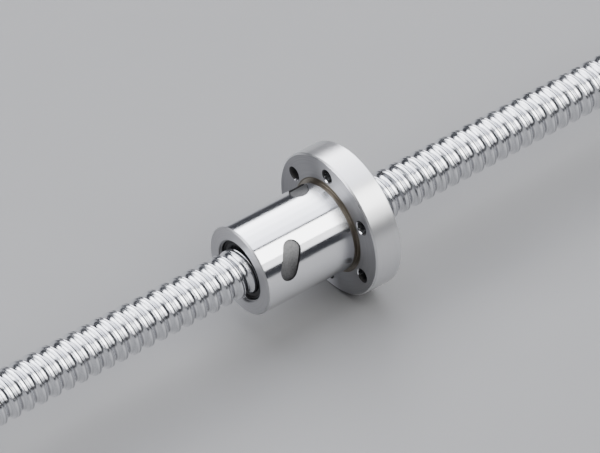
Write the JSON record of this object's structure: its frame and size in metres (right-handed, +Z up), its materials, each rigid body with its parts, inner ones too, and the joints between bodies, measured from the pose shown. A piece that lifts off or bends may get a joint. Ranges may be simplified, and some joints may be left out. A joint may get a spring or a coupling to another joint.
{
  "type": "ball screw assembly",
  "caption": "Ball screw with a single-flange round nut, internal ball return inserts and machined shaft ends that turns rotation into straight travel.",
  "frame": {"origin": "centre of the flange's mounting face, on the screw axis", "axes": "+X along the screw axis from the nut's nose towards the flange and the driven end, +Z up, one bolt hole straight up"},
  "size_m": [0.35, 0.049, 0.049],
  "materials": {
    "screw_steel": "ground and polished hardened steel",
    "nut_steel": "cylindrically ground outside, turned end faces",
    "insert_steel": "matte sintered steel",
    "ball_steel": "polished bearing balls",
    "wiper_plastic": "black moulded plastic",
    "ring_steel": "drawn spring wire",
    "plug_steel": "black oxide"
  },
  "bodies": {
    "screw": {"screw_shaft": "screw_steel"},
    "nose_ring": {"nose_wiper_retaining_ring": "ring_steel"},
    "nut": {"nut_body": "nut_steel", "deflector_1": "insert_steel", "deflector_2": "insert_steel", "deflector_3": "insert_steel", "deflector_4": "insert_steel", "ball_circuit_1": "ball_steel", "ball_circuit_2": "ball_steel", "ball_circuit_3": "ball_steel", "ball_circuit_4": "ball_steel", "nose_wiper": "wiper_plastic", "flange_wiper": "wiper_plastic", "flange_wiper_retaining_ring": "ring_steel", "oil_port_plug": "plug_steel"}
  },
  "joints": [
    {"name": "nut_travel", "type": "slide", "parent": "screw", "child": "nose_ring", "axis": [1, 0, 0], "range_m": [-0.1, 0.125]},
    {"name": "nut_turn", "type": "hinge", "parent": "nose_ring", "child": "nut", "pos_m": [0, 0, 0], "axis": [1, 0, 0], "range_deg": [-7200, 9000]}
  ],
  "couplings": [
    {"joint": "nut_travel", "follows": "nut_turn", "m_per_rad": 0.00079577}
  ]
}
